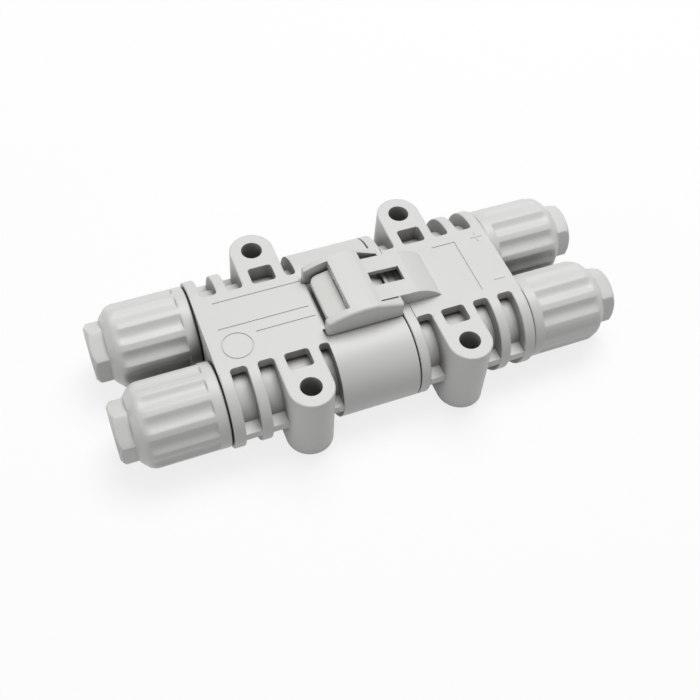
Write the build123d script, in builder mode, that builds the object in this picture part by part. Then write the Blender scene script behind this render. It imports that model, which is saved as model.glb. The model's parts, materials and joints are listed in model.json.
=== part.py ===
from build123d import *
import math
import os

# Two-pole inline power connector with four gland nuts and a press-to-release latch.
# X runs along the connector, Y across it and Z up. The origin is at the bottom centre, on the
# surface that the two barrels rest on. The left half is on the -X side. All sizes are in mm.

os.makedirs("parts", exist_ok=True)

# Barrels, rings and top plate
RING_R = 10.55
RING_HEIGHT = 3.25
RING_EDGE_R = 0.3
BARREL_GAP = 1.4
CORE_WALL = 1.6
PLATE_THICKNESS = 2.4
WINDOW_FROM_AXIS = 0.8
WINDOW_CORNER_R = 0.8
RAIL_HEIGHT = 2.1
RAIL_INSET = 0.15
LEDGE_LAP = 0.6

# Stations along X, from the cable end inwards
HOUSING_END = 36.4
END_FLANGE = 2.6
RING_WIDTH = 2.5
SLOT_WIDTH = 3.675
SEAL_X = 7.4
SEAL_THICKNESS = 0.4
JOINT_FLANGE = 2.4
SLEEVE_BACK = -11.2
SLEEVE_WALL = 2.2

# Lugs with screw holes
LUG_R = 5.2
LUG_FOOT_R = 5.47
LUG_FROM_SIDE = 1.4
LUG_HOLE_R = 2.45
LUG_FOOT_Z = 2.1
LUG_WALL = 2.35
LUG_WINDOW_GAP = 0.1
LUG_EDGE_R = 0.35

# Shallow grooves in the top plates
GROOVE_WIDTH = 0.3
GROOVE_DEPTH = 0.15
LEFT_GROOVES = [(-32.0, -11.3, 7.9), (-32.8, -12.0, 0.4), (-25.0, -11.5, -2.6)]
RING_GROOVE_X = -30.2
RING_GROOVE_Y = -5.0
RING_GROOVE_R = 3.6
RIGHT_GROOVE_LEFT = 22.0
RIGHT_GROOVE_X = 27.7
RIGHT_GROOVE_TOP = 7.4
RIGHT_GROOVE_END = -8.0

# Sleeve and plug nose
SLEEVE_SIDE_WALL = 1.55
NOSE_CLEARANCE = 0.3
NOSE_END_GAP = 0.3
ORING_X = -2.0
ORING_SECTION_R = 0.5
ORING_CLEARANCE = 0.03
ORING_GROOVE_WIDTH = 1.5
FACE_SEAL_RECESS = 0.2
SEAL_FIT = 0.05

# Gland thread, seal and claw
SPIGOT_STEP = 0.6
SPIGOT_LENGTH = 11.6
THREAD_CLEARANCE = 0.1
SPIGOT_WALL = 1.3
SEAT_DEPTH = 9.6
GLAND_SEAL_BORE_R = 3.4
CLAW_RING_STEP = 0.3
CLAW_RING_LENGTH = 1.8
CLAW_SHOULDER_STEP = 0.3
CLAW_BORE_R = 4.4
CLAW_TIP_R = 5.3
CLAW_FINGER_LENGTH = 6.2
CLAW_FINGERS = 8
CLAW_SLIT = 0.9
CLAW_CLEARANCE = 0.3

# Gland nut
NUT_STEP = 0.68
NUT_GAP = 0.3
NUT_COLLAR = 2.6
NUT_BODY = 15.0
NUT_SHOULDER = 2.3
NUT_SHOULDER_DROP = 2.47
NUT_HEX_STEP = 1.1
NUT_HEX_LENGTH = 3.9
NUT_HEX_TURN = 90.0
NUT_EDGE_R = 0.5
FLUTES = 12
FLUTE_DEPTH = 0.65
FLUTE_WIDTH = 3.6
FLUTE_RUNOUT = 0.8
RUNOUT_DEPTH = 0.8
NOSE_STEP = 0.2
CABLE_ENTRY_R = 4.0
ENTRY_CHAMFER = 0.5

# How far each nut happens to be turned, in degrees from its top towards the front
NUT_TURNS = {"front_left": 6.0, "rear_left": -3.0, "front_right": -14.0, "rear_right": -15.0}

# Contacts and their carriers
CARRIER_CLEARANCE = 0.1
CARRIER_CABLE_END = 31.0
CONTACT_R = 2.6
CONTACT_INSET = 0.5
TERMINAL_LENGTH = 16.0
CONTACT_FIT = 0.05
PIN_R = 1.5
PIN_REACH = 12.0
PIN_TIP = 0.6
SOCKET_DEPTH = 13.0
WIRE_HOLE_R = 1.4
WIRE_HOLE_DEPTH = 9.0
SCREW_R = 1.4
SCREW_LENGTH = 2.6
SCREW_FROM_END = 3.5
SCREW_SLOT = 0.5

# Arched hood over the latch, and the lower deck that runs on into the hump
HOOD_LEFT = -10.7
SHOULDER_WIDTH = 2.7
HOOD_WALL = 1.95
HOOD_END_Z = 3.7
HOOD_CROWN_X = -3.0
HOOD_CROWN_Z = 5.8
SHOULDER_X = 1.2
SHOULDER_Z = 5.7
SHOULDER_END_Z = 3.8
ROOF_THICKNESS = 1.3
ROOF_EDGE_X = -5.0
LIP_THICKNESS = 1.0
HOOD_CORNER_R = 0.8
HOOD_EDGE_R = 0.7
HOOD_CLEARANCE = 0.3
DECK_LEFT = 2.3
DECK_HALF_WIDTH = 6.4
DECK_Z = 4.15
DECK_THICKNESS = 1.1
DECK_END_X = 12.0
DECK_END_Z = 3.6
HUMP_MIDDLE_X = 15.0
HUMP_MIDDLE_Z = 2.55
HUMP_FOOT_X = 18.2
HUMP_WALL = 1.3
HUMP_HOLLOW_END = 12.0
WINDOW_LEFT = 2.9
WINDOW_LENGTH = 7.5
WINDOW_HALF_WIDTH = 2.05
SIDE_SLOT_END = 6.9
SIDE_SLOT_WIDTH = 1.25
SIDE_SLOT_END_WIDTH = 0.5

# Release lever, its pivot and the catch that it holds
PAD_LEFT = -9.65
PAD_RIGHT = -5.1
PAD_SIDE_GAP = 0.55
PAD_LOW_Z = 2.05
PAD_HIGH_Z = 3.2
PAD_THICKNESS = 1.2
PAD_CORNER_R = 1.8
PAD_EDGE_R = 0.3
PAD_SLIT = 0.2
PAD_SLIT_MIDDLE = 0.7
PAD_SLIT_HALF_WIDTH = 2.9
PIVOT_X = -3.0
PIVOT_Z = 1.6
PIVOT_R = 0.9
PIVOT_CLEARANCE = 0.06
PIVOT_END_GAP = 0.2
PIVOT_SKIN = 0.7
LEVER_HUB_R = 1.4
ARM_HALF_WIDTH = 3.2
ARM_TOP = 1.8
ARM_THICKNESS = 0.9
HOOK_ENGAGEMENT = 0.7
HOOK_LENGTH = 1.5
HOOK_GAP = 0.3
CATCH_X = 2.9
CATCH_LENGTH = 3.6
CATCH_TOP = 1.4
CATCH_LAND = 1.5
CATCH_NOSE_DROP = 1.2
CATCH_HALF_WIDTH = 2.3
BRIDGE_HALF_WIDTH = 4.4
BRIDGE_TOP = -2.0
BRIDGE_THICKNESS = 3.0
TONGUE_SIDE_GAP = 0.25
TONGUE_END = -9.9
TONGUE_EDGE_R = 1.0
STOP_GAP = 0.4
STOP_TOP = 0.8

# Places worked out from the sizes above
AXIS_Z = RING_R
TOP_Z = 2 * RING_R
BARREL_Y = RING_R + BARREL_GAP / 2
CORE_R = RING_R - RING_HEIGHT
BORE_R = CORE_R - CORE_WALL
WINDOW_INNER_Y = BARREL_Y - WINDOW_FROM_AXIS
LUG_Y = BARREL_Y + RING_R - LUG_FROM_SIDE
LUG_WINDOW_OUTER_Y = LUG_Y - LUG_R - LUG_WINDOW_GAP
SLEEVE_BORE_R = RING_R - SLEEVE_SIDE_WALL
SPIGOT_R = CORE_R + SPIGOT_STEP
SEAT_R = SPIGOT_R - SPIGOT_WALL
CLAW_RING_R = SPIGOT_R - CLAW_RING_STEP
CLAW_SHOULDER_R = CLAW_RING_R - CLAW_SHOULDER_STEP
NUT_R = RING_R - NUT_STEP
NUT_SHOULDER_R = NUT_R - NUT_SHOULDER_DROP
NUT_HEX_ACROSS = 2 * (NUT_SHOULDER_R - NUT_HEX_STEP)
NOSE_END_R = NUT_HEX_ACROSS / 2 - NOSE_STEP
FLUTE_CUT_R = (FLUTE_WIDTH**2 / 4 + FLUTE_DEPTH**2) / (2 * FLUTE_DEPTH)
LUG_X = HOUSING_END - END_FLANGE - 2 * SLOT_WIDTH - RING_WIDTH - LUG_R
LUG_INNER_X = LUG_X - LUG_R
LUG_OUTER_X = LUG_X + LUG_R
RING_INNER_X = LUG_OUTER_X + SLOT_WIDTH
RING_OUTER_X = RING_INNER_X + RING_WIDTH
SLEEVE_MOUTH = SEAL_X - SEAL_THICKNESS / 2
JOINT_FACE = SEAL_X + SEAL_THICKNESS / 2
JOINT_BACK = JOINT_FACE + JOINT_FLANGE
SLEEVE_FLOOR = SLEEVE_BACK + SLEEVE_WALL
NOSE_R = SLEEVE_BORE_R - NOSE_CLEARANCE
NOSE_END = SLEEVE_FLOOR + NOSE_END_GAP
ORING_GROOVE_R = SLEEVE_BORE_R - 2 * (ORING_SECTION_R + ORING_CLEARANCE)
SPIGOT_END = HOUSING_END + SPIGOT_LENGTH
NUT_START = HOUSING_END + NUT_GAP
NUT_SHOULDER_X = NUT_START + NUT_COLLAR + NUT_BODY
FLUTE_END = NUT_SHOULDER_X - NUT_EDGE_R
NUT_HEX_X = NUT_SHOULDER_X + NUT_SHOULDER
NUT_END = NUT_HEX_X + NUT_HEX_LENGTH
CLAW_START = SPIGOT_END + SEAL_FIT
CLAW_SHOULDER = CLAW_START + CLAW_RING_LENGTH
CLAW_TIP = CLAW_SHOULDER + CLAW_FINGER_LENGTH
CARRIER_R = BORE_R - CARRIER_CLEARANCE
CONTACT_END = CARRIER_CABLE_END - CONTACT_INSET
SOCKET_MOUTH = NOSE_END + CONTACT_INSET
SCREW_X = CONTACT_END - SCREW_FROM_END
CATCH_END = CATCH_X + CATCH_LENGTH
HOOD_HALF_WIDTH = DECK_HALF_WIDTH + SHOULDER_WIDTH
HOOD_BAY = HOOD_HALF_WIDTH - HOOD_WALL
PAD_HALF_WIDTH = HOOD_BAY - PAD_SIDE_GAP
TONGUE_HALF_WIDTH = HOOD_BAY - TONGUE_SIDE_GAP
LOW_END = (Align.CENTER, Align.CENTER, Align.MIN)
BLOCK_ALIGN = (Align.MIN, Align.CENTER, Align.MIN)


def save(piece, name):
    """Label a finished piece and write it under its name."""
    piece.label = name
    export_step(piece, f"parts/{name}.step")


def barrels(radius, x_low, x_high, mode=Mode.ADD):
    """A pair of cylinders on the barrel axes, from x_low to x_high."""
    with Locations((x_low, -BARREL_Y, AXIS_Z), (x_low, BARREL_Y, AXIS_Z)):
        Cylinder(radius, x_high - x_low, rotation=(0, 90, 0), align=LOW_END, mode=mode)


def block(x_range, half_width, z_range, mode=Mode.ADD):
    """A block centred on Y = 0, with its heights measured from the top plate's face."""
    x_low, x_high = x_range
    z_low, z_high = z_range
    with Locations((x_low, 0, TOP_Z + z_low)):
        Box(x_high - x_low, 2 * half_width, z_high - z_low, align=BLOCK_ALIGN, mode=mode)


def ring(width):
    """One rounded ring round both barrels, filled between them up to the top plate."""
    with BuildPart() as piece:
        with BuildSketch(Plane.YZ):
            with Locations((-BARREL_Y, AXIS_Z), (BARREL_Y, AXIS_Z)):
                Circle(RING_R)
            with Locations((0, AXIS_Z)):
                Rectangle(2 * BARREL_Y, TOP_Z - AXIS_Z, align=(Align.CENTER, Align.MIN))
        extrude(amount=width)
        fillet(piece.edges().filter_by(GeomType.CIRCLE), RING_EDGE_R)
    return piece.part


def cut_groove(start, end):
    """A straight groove in the top plate's face, with rounded ends."""
    length = math.dist(start, end) + GROOVE_WIDTH
    angle = math.degrees(math.atan2(end[1] - start[1], end[0] - start[0]))
    with BuildSketch(Plane.XY.offset(TOP_Z)) as groove:
        with Locations(Location(((start[0] + end[0]) / 2, (start[1] + end[1]) / 2, 0), (0, 0, angle))):
            SlotOverall(length, GROOVE_WIDTH)
    extrude(groove.sketch, amount=-GROOVE_DEPTH, mode=Mode.SUBTRACT)


def cut_windows(x_low, x_high, y_high):
    """A rounded window over each barrel, from beside the top plate out to y_high."""
    middle = ((x_low + x_high) / 2, (WINDOW_INNER_Y + y_high) / 2)
    with BuildSketch(Plane.XY) as cut:
        with Locations((middle[0], -middle[1]), middle):
            RectangleRounded(x_high - x_low, y_high - WINDOW_INNER_Y, WINDOW_CORNER_R)
    extrude(cut.sketch, amount=2 * TOP_Z, mode=Mode.SUBTRACT)


# Rings and lugs are rounded before they join a housing
end_ring = ring(END_FLANGE)
middle_ring = ring(RING_WIDTH)
lug_ring = ring(LUG_WALL)
joint_ring = ring(JOINT_FLANGE)
with BuildPart() as lugs:
    lug_height = TOP_Z - LUG_FOOT_Z
    with BuildSketch(Plane.XY.offset(LUG_FOOT_Z)):
        for side in (-1, 1):
            with Locations((LUG_X, side * LUG_Y)):
                Circle(LUG_FOOT_R)
            with Locations((LUG_X, side * (LUG_Y + WINDOW_INNER_Y) / 2)):
                Rectangle(2 * LUG_FOOT_R, LUG_Y - WINDOW_INNER_Y)
    extrude(amount=lug_height, taper=math.degrees(math.atan((LUG_FOOT_R - LUG_R) / lug_height)))
    fillet(lugs.edges().group_by(Axis.Z)[-1], LUG_EDGE_R)


def ribbed_half(inner_x):
    """The half of a housing that carries the lugs, on the +X side, from inner_x outwards."""
    beyond = LUG_Y + 2 * LUG_FOOT_R
    with Locations((HOUSING_END - END_FLANGE, 0, 0)):
        add(end_ring)
    with Locations((RING_INNER_X, 0, 0)):
        add(middle_ring)
    with Locations((LUG_INNER_X, 0, 0), (LUG_OUTER_X - LUG_WALL, 0, 0)):
        add(lug_ring)
    with BuildSketch(Plane.XY.offset(TOP_Z - PLATE_THICKNESS)) as plate:
        with Locations(((inner_x + HOUSING_END) / 2, 0)):
            Rectangle(HOUSING_END - inner_x, 2 * BARREL_Y)
    extrude(plate.sketch, amount=PLATE_THICKNESS)
    cut_windows(inner_x, LUG_INNER_X, beyond)
    cut_windows(LUG_OUTER_X, RING_INNER_X, beyond)
    cut_windows(RING_OUTER_X, HOUSING_END - END_FLANGE, beyond)
    add(lugs.part)
    cut_windows(LUG_INNER_X + LUG_WALL, LUG_OUTER_X - LUG_WALL, LUG_WINDOW_OUTER_Y)
    barrels(CORE_R, inner_x, HOUSING_END)
    rail_outer_y = BARREL_Y + RING_R - RAIL_INSET
    rail_depth = RING_R - RAIL_INSET - CORE_R + LEDGE_LAP
    for side in (-1, 1):
        with Locations((inner_x, side * (rail_outer_y - rail_depth / 2), AXIS_Z)):
            Box(
                HOUSING_END - inner_x, rail_depth, RAIL_HEIGHT,
                align=(Align.MIN, Align.CENTER, Align.CENTER),
            )
    barrels(SPIGOT_R, HOUSING_END, SPIGOT_END)
    barrels(BORE_R, inner_x, SPIGOT_END, mode=Mode.SUBTRACT)
    barrels(SEAT_R, SPIGOT_END - SEAT_DEPTH, SPIGOT_END, mode=Mode.SUBTRACT)
    with Locations((LUG_X, -LUG_Y, TOP_Z), (LUG_X, LUG_Y, TOP_Z)):
        Cylinder(LUG_HOLE_R, 2 * TOP_Z, mode=Mode.SUBTRACT)


def hood_view(drop, left, right):
    """The arched hood seen from the front, lowered by drop and cut at left and right."""
    low = TOP_Z - drop
    floor = TOP_Z - PLATE_THICKNESS / 2
    with BuildSketch(Plane.XZ) as view:
        with BuildLine():
            ThreePointArc(
                (HOOD_LEFT, low + HOOD_END_Z),
                (HOOD_CROWN_X, low + HOOD_CROWN_Z),
                (SHOULDER_X, low + SHOULDER_Z),
            )
            Polyline(
                (SHOULDER_X, low + SHOULDER_Z),
                (JOINT_FACE, low + SHOULDER_END_Z),
                (JOINT_FACE, floor),
                (HOOD_LEFT, floor),
                (HOOD_LEFT, low + HOOD_END_Z),
            )
        make_face()
        with Locations(((left + right) / 2, TOP_Z)):
            Rectangle(right - left, 2 * TOP_Z, mode=Mode.INTERSECT)
    return view.sketch


def deck_view(drop, left, right):
    """The deck and the hump seen from the front, lowered by drop and cut at left and right."""
    low = TOP_Z - drop
    floor = TOP_Z - PLATE_THICKNESS / 2
    with BuildSketch(Plane.XZ) as view:
        with BuildLine():
            Line((SHOULDER_X, low + DECK_Z), (DECK_END_X, low + DECK_END_Z))
            ThreePointArc(
                (DECK_END_X, low + DECK_END_Z),
                (HUMP_MIDDLE_X, low + HUMP_MIDDLE_Z),
                (HUMP_FOOT_X, low),
            )
            Polyline(
                (HUMP_FOOT_X, low),
                (HUMP_FOOT_X, floor),
                (SHOULDER_X, floor),
                (SHOULDER_X, low + DECK_Z),
            )
        make_face()
        with Locations(((left + right) / 2, TOP_Z)):
            Rectangle(right - left, 2 * TOP_Z, mode=Mode.INTERSECT)
    return view.sketch


# Left housing: the ribbed half, the two sleeves and the bridge with the catch between them
with BuildPart() as left_housing:
    ribbed_half(-SLEEVE_BACK)
    mirror(about=Plane.YZ, mode=Mode.REPLACE)
    for groove_left, groove_right, groove_y in LEFT_GROOVES:
        cut_groove((groove_left, groove_y), (groove_right, groove_y))
    with BuildSketch(Plane.XY.offset(TOP_Z)):
        with Locations((RING_GROOVE_X, RING_GROOVE_Y)):
            Circle(RING_GROOVE_R)
            Circle(RING_GROOVE_R - GROOVE_WIDTH, mode=Mode.SUBTRACT)
    extrude(amount=-GROOVE_DEPTH, mode=Mode.SUBTRACT)
    block((SLEEVE_BACK, TONGUE_END), TONGUE_HALF_WIDTH, (-PLATE_THICKNESS, 0))
    tongue_edges = left_housing.edges().filter_by(Axis.Y).group_by(Axis.X)[-1]
    fillet(tongue_edges.sort_by(Axis.Z)[-1], TONGUE_EDGE_R)
    bridge_floor = BRIDGE_TOP - BRIDGE_THICKNESS
    block((SLEEVE_BACK, CATCH_END), BRIDGE_HALF_WIDTH, (bridge_floor, BRIDGE_TOP))
    with BuildSketch(Plane.XZ):
        with BuildLine():
            Polyline(
                (CATCH_X, TOP_Z + bridge_floor),
                (CATCH_X, TOP_Z + CATCH_TOP),
                (CATCH_X + CATCH_LAND, TOP_Z + CATCH_TOP),
                (CATCH_END, TOP_Z + CATCH_TOP - CATCH_NOSE_DROP),
                (CATCH_END, TOP_Z + bridge_floor),
                close=True,
            )
        make_face()
    extrude(amount=CATCH_HALF_WIDTH, both=True)
    barrels(RING_R, SLEEVE_BACK, SLEEVE_MOUTH)
    barrels(SLEEVE_BORE_R, SLEEVE_FLOOR, SLEEVE_MOUTH, mode=Mode.SUBTRACT)
    barrels(BORE_R, SLEEVE_BACK, SLEEVE_FLOOR, mode=Mode.SUBTRACT)
left_housing.part.label = "left_housing"
export_step(left_housing.part, "parts/left_housing.step")

# Hood: an arched roof over the latch, open at the left for the pad, and the deck let into it
with BuildPart() as hood:
    extrude(hood_view(0, HOOD_LEFT, JOINT_FACE), amount=HOOD_HALF_WIDTH, both=True)
    upright = hood.edges().filter_by(Axis.Z).group_by(Axis.X)
    fillet(upright[0] + upright[-1], HOOD_CORNER_R)
    rim = hood.edges().filter_by(Axis.Z, reverse=True).filter_by_position(Axis.Z, TOP_Z, 2 * TOP_Z)
    fillet(rim, HOOD_EDGE_R)
    block((DECK_LEFT, JOINT_FACE), DECK_HALF_WIDTH, (0, TOP_Z), mode=Mode.SUBTRACT)
    extrude(deck_view(0, SHOULDER_X, HUMP_FOOT_X), amount=DECK_HALF_WIDTH, both=True)
    roof_start = ROOF_EDGE_X + LIP_THICKNESS
    under_roof = hood_view(ROOF_THICKNESS, roof_start, SHOULDER_X)
    extrude(under_roof, amount=HOOD_BAY, both=True, mode=Mode.SUBTRACT)
    under_deck = deck_view(DECK_THICKNESS, SHOULDER_X, JOINT_FACE)
    extrude(under_deck, amount=HOOD_BAY, both=True, mode=Mode.SUBTRACT)
    inside_hump = deck_view(DECK_THICKNESS, JOINT_FACE, HUMP_HOLLOW_END)
    extrude(inside_hump, amount=DECK_HALF_WIDTH - HUMP_WALL, both=True, mode=Mode.SUBTRACT)
    below = -RING_R
    block((HOOD_LEFT, ROOF_EDGE_X), HOOD_BAY, (below, TOP_Z), mode=Mode.SUBTRACT)
    block((ROOF_EDGE_X, roof_start), HOOD_BAY, (below, PAD_HIGH_Z + PAD_SLIT), mode=Mode.SUBTRACT)
    slit_top = PAD_HIGH_Z + PAD_SLIT_MIDDLE
    block((ROOF_EDGE_X, roof_start), PAD_SLIT_HALF_WIDTH, (below, slit_top), mode=Mode.SUBTRACT)
    block((roof_start, JOINT_FACE), HOOD_BAY, (below, 0), mode=Mode.SUBTRACT)
    window_x = (WINDOW_LEFT, WINDOW_LEFT + WINDOW_LENGTH)
    block(window_x, WINDOW_HALF_WIDTH, (0, TOP_Z), mode=Mode.SUBTRACT)
    with BuildSketch(Plane.XY.offset(TOP_Z + RING_R)):
        for side in (-1, 1):
            Polygon(
                (DECK_LEFT, side * DECK_HALF_WIDTH),
                (SIDE_SLOT_END, side * DECK_HALF_WIDTH),
                (SIDE_SLOT_END, side * (DECK_HALF_WIDTH + SIDE_SLOT_END_WIDTH)),
                (DECK_LEFT, side * (DECK_HALF_WIDTH + SIDE_SLOT_WIDTH)),
                align=None,
            )
    extrude(amount=RING_R, both=True, mode=Mode.SUBTRACT)
    barrels(RING_R + HOOD_CLEARANCE, HOOD_LEFT, JOINT_FACE, mode=Mode.SUBTRACT)
    with Locations((PIVOT_X, 0, TOP_Z + PIVOT_Z)):
        pivot_hole_length = 2 * (HOOD_HALF_WIDTH - PIVOT_SKIN)
        Cylinder(PIVOT_R + PIVOT_CLEARANCE, pivot_hole_length, rotation=(90, 0, 0), mode=Mode.SUBTRACT)

# Right housing: the ribbed half, the joint flange, the two plug noses and the hood
with BuildPart() as right_housing:
    ribbed_half(JOINT_BACK)
    groove_corner = (RIGHT_GROOVE_X, RIGHT_GROOVE_TOP)
    cut_groove((RIGHT_GROOVE_LEFT, RIGHT_GROOVE_TOP), groove_corner)
    cut_groove((RIGHT_GROOVE_X, RIGHT_GROOVE_END), groove_corner)
    with Locations((JOINT_FACE, 0, 0)):
        add(joint_ring)
    add(hood.part)
    block((CATCH_END + STOP_GAP, JOINT_FACE), BRIDGE_HALF_WIDTH, (BRIDGE_TOP, STOP_TOP))
    barrels(RING_R + HOOD_CLEARANCE, CATCH_END, JOINT_FACE, mode=Mode.SUBTRACT)
    barrels(NOSE_R, NOSE_END, JOINT_BACK)
    with BuildSketch(Plane.YZ.offset(ORING_X - ORING_GROOVE_WIDTH / 2)):
        with Locations((-BARREL_Y, AXIS_Z), (BARREL_Y, AXIS_Z)):
            Circle(SLEEVE_BORE_R)
            Circle(ORING_GROOVE_R, mode=Mode.SUBTRACT)
    extrude(amount=ORING_GROOVE_WIDTH, mode=Mode.SUBTRACT)
    barrels(BORE_R, NOSE_END, JOINT_BACK, mode=Mode.SUBTRACT)
right_housing.part.label = "right_housing"
export_step(right_housing.part, "parts/right_housing.step")

# Release lever: the sloping pad that shows, the hub with its two pivot stubs, the arm and its hook
with BuildPart() as release_lever:
    with BuildSketch(Plane.XZ):
        with BuildLine():
            Polyline(
                (PAD_LEFT, TOP_Z + PAD_LOW_Z),
                (PAD_RIGHT, TOP_Z + PAD_HIGH_Z),
                (PIVOT_X, TOP_Z + PIVOT_Z + LEVER_HUB_R),
                (PIVOT_X, TOP_Z + PIVOT_Z),
                (PAD_LEFT, TOP_Z + PAD_LOW_Z - PAD_THICKNESS),
                close=True,
            )
        make_face()
    extrude(amount=PAD_HALF_WIDTH, both=True)
    fillet(release_lever.edges().filter_by(Axis.Z).group_by(Axis.X)[0], PAD_CORNER_R)
    pad_face = release_lever.faces().sort_by(SortBy.AREA)[-2:].sort_by(Axis.Z)[-1]
    fillet(pad_face.edges().sort_by(Axis.X)[:-1], PAD_EDGE_R)
    with Locations((PIVOT_X, 0, TOP_Z + PIVOT_Z)):
        Cylinder(LEVER_HUB_R, 2 * PAD_HALF_WIDTH, rotation=(90, 0, 0))
        stub_reach = HOOD_HALF_WIDTH - PIVOT_SKIN - PIVOT_END_GAP
        Cylinder(PIVOT_R, 2 * stub_reach, rotation=(90, 0, 0))
    hook_end = CATCH_X - HOOK_GAP
    block((PIVOT_X, hook_end), ARM_HALF_WIDTH, (ARM_TOP - ARM_THICKNESS, ARM_TOP))
    with BuildSketch(Plane.XZ):
        with BuildLine():
            Polyline(
                (hook_end - HOOK_LENGTH, TOP_Z + ARM_TOP - ARM_THICKNESS / 2),
                (hook_end, TOP_Z + ARM_TOP - ARM_THICKNESS / 2),
                (hook_end, TOP_Z + CATCH_TOP - HOOK_ENGAGEMENT),
                (hook_end - HOOK_LENGTH / 2, TOP_Z + CATCH_TOP - HOOK_ENGAGEMENT),
                close=True,
            )
        make_face()
    extrude(amount=ARM_HALF_WIDTH, both=True)
release_lever.part.label = "release_lever"
export_step(release_lever.part, "parts/release_lever.step")


def turned(outline, bore):
    """A piece turned about X: its outside as (x, radius) points, from low x to high x."""
    with BuildPart() as piece:
        with BuildSketch(Plane.XY):
            with BuildLine():
                Polyline((outline[0][0], bore), *outline, (outline[-1][0], bore), close=True)
            make_face()
        revolve(axis=Axis.X)
    return piece.part


# Gland nut: turned blank, scooped flutes from the collar to the shoulder, hexagon nose, stepped bore
nut_blank = turned(
    [(NUT_START, NUT_R), (NUT_SHOULDER_X, NUT_R), (NUT_HEX_X, NUT_SHOULDER_R)], 0
)
flute_runout = turned(
    [(FLUTE_END - FLUTE_RUNOUT, NUT_R - RUNOUT_DEPTH), (FLUTE_END, NUT_R + RUNOUT_DEPTH - FLUTE_DEPTH)], 0
)
nose_blank = turned(
    [(NUT_SHOULDER_X, NUT_R), (NUT_END - (NUT_R - NOSE_END_R), NUT_R), (NUT_END, NOSE_END_R)], 0
)
nut_inside = turned(
    [
        (NUT_START, SPIGOT_R + THREAD_CLEARANCE),
        (CLAW_SHOULDER, SPIGOT_R + THREAD_CLEARANCE),
        (CLAW_SHOULDER, CLAW_SHOULDER_R + CLAW_CLEARANCE),
        (CLAW_TIP, CLAW_TIP_R + CLAW_CLEARANCE),
        (CLAW_TIP, CABLE_ENTRY_R),
        (NUT_END - ENTRY_CHAMFER, CABLE_ENTRY_R),
        (NUT_END, CABLE_ENTRY_R + ENTRY_CHAMFER),
    ],
    0,
)
with BuildPart() as flutes:
    with BuildSketch(Plane.YZ.offset(NUT_START + NUT_COLLAR)):
        with PolarLocations(NUT_R - FLUTE_DEPTH + FLUTE_CUT_R, FLUTES, start_angle=90):
            Circle(FLUTE_CUT_R)
    extrude(amount=NUT_BODY - NUT_EDGE_R)
    add(flute_runout, mode=Mode.SUBTRACT)
with BuildPart() as nose:
    with BuildSketch(Plane.YZ.offset(NUT_HEX_X - NUT_EDGE_R)):
        RegularPolygon(NUT_HEX_ACROSS / 2, 6, major_radius=False, rotation=NUT_HEX_TURN)
    extrude(amount=NUT_HEX_LENGTH + NUT_EDGE_R)
    add(nose_blank, mode=Mode.INTERSECT)
    nose_face = nose.faces().filter_by(Axis.X).sort_by(Axis.X)[-1]
    fillet(nose_face.edges(), NUT_EDGE_R)
with BuildPart() as gland_nut:
    add(nut_blank)
    nut_circles = gland_nut.edges().filter_by(GeomType.CIRCLE).group_by(Axis.X)
    fillet(nut_circles[0] + nut_circles[1], NUT_EDGE_R)
    add(flutes.part, mode=Mode.SUBTRACT)
    add(nose.part)
    add(nut_inside, mode=Mode.SUBTRACT)

# Clamping claw: a ring behind the seal with tapered fingers that the nut's cone squeezes
claw_blank = turned(
    [
        (CLAW_START, CLAW_RING_R),
        (CLAW_SHOULDER, CLAW_RING_R),
        (CLAW_SHOULDER, CLAW_SHOULDER_R),
        (CLAW_TIP, CLAW_TIP_R),
    ],
    CLAW_BORE_R,
)
with BuildPart() as clamping_claw:
    add(claw_blank)
    with BuildSketch(Plane.YZ.offset(CLAW_SHOULDER)):
        with PolarLocations(CLAW_RING_R / 2, CLAW_FINGERS):
            Rectangle(CLAW_RING_R, CLAW_SLIT)
    extrude(amount=2 * CLAW_FINGER_LENGTH, mode=Mode.SUBTRACT)

# Gland seal: the rubber bush in the mouth of the threaded spigot
gland_seal = turned(
    [(SPIGOT_END - SEAT_DEPTH + SEAL_FIT, SEAT_R - SEAL_FIT), (SPIGOT_END, SEAT_R - SEAL_FIT)],
    GLAND_SEAL_BORE_R,
)

# Four glands: each nut stands as its own turn left it, and the seal and claw lie behind it
for name, turn in NUT_TURNS.items():
    row, end = name.split("_")
    y = -BARREL_Y if row == "front" else BARREL_Y
    facing = Location((0, 0, 0), (0, 0, 180 if end == "left" else 0))
    seat = Location((0, y, AXIS_Z))
    save(gland_nut.part.moved(seat * Location((0, 0, 0), (turn, 0, 0)) * facing), f"{name}_gland_nut")
    save(clamping_claw.part.moved(seat * facing), f"{name}_clamping_claw")
    save(gland_seal.moved(seat * facing), f"{name}_gland_seal")

# Pin: wire terminal at the cable end, then the round pin that reaches into the socket
pin_blank = turned(
    [
        (-CONTACT_END, CONTACT_R),
        (-CONTACT_END + TERMINAL_LENGTH, CONTACT_R),
        (-CONTACT_END + TERMINAL_LENGTH, PIN_R),
        (SLEEVE_FLOOR + PIN_REACH - PIN_TIP, PIN_R),
        (SLEEVE_FLOOR + PIN_REACH, PIN_R - PIN_TIP),
    ],
    0,
)
with BuildPart() as contact_pin:
    add(pin_blank)
    with Locations((-CONTACT_END, 0, 0)):
        Cylinder(WIRE_HOLE_R, WIRE_HOLE_DEPTH, rotation=(0, 90, 0), align=LOW_END, mode=Mode.SUBTRACT)
    with Locations((-SCREW_X, 0, 0)):
        Cylinder(SCREW_R + CONTACT_FIT, CONTACT_R, align=LOW_END, mode=Mode.SUBTRACT)

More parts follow.
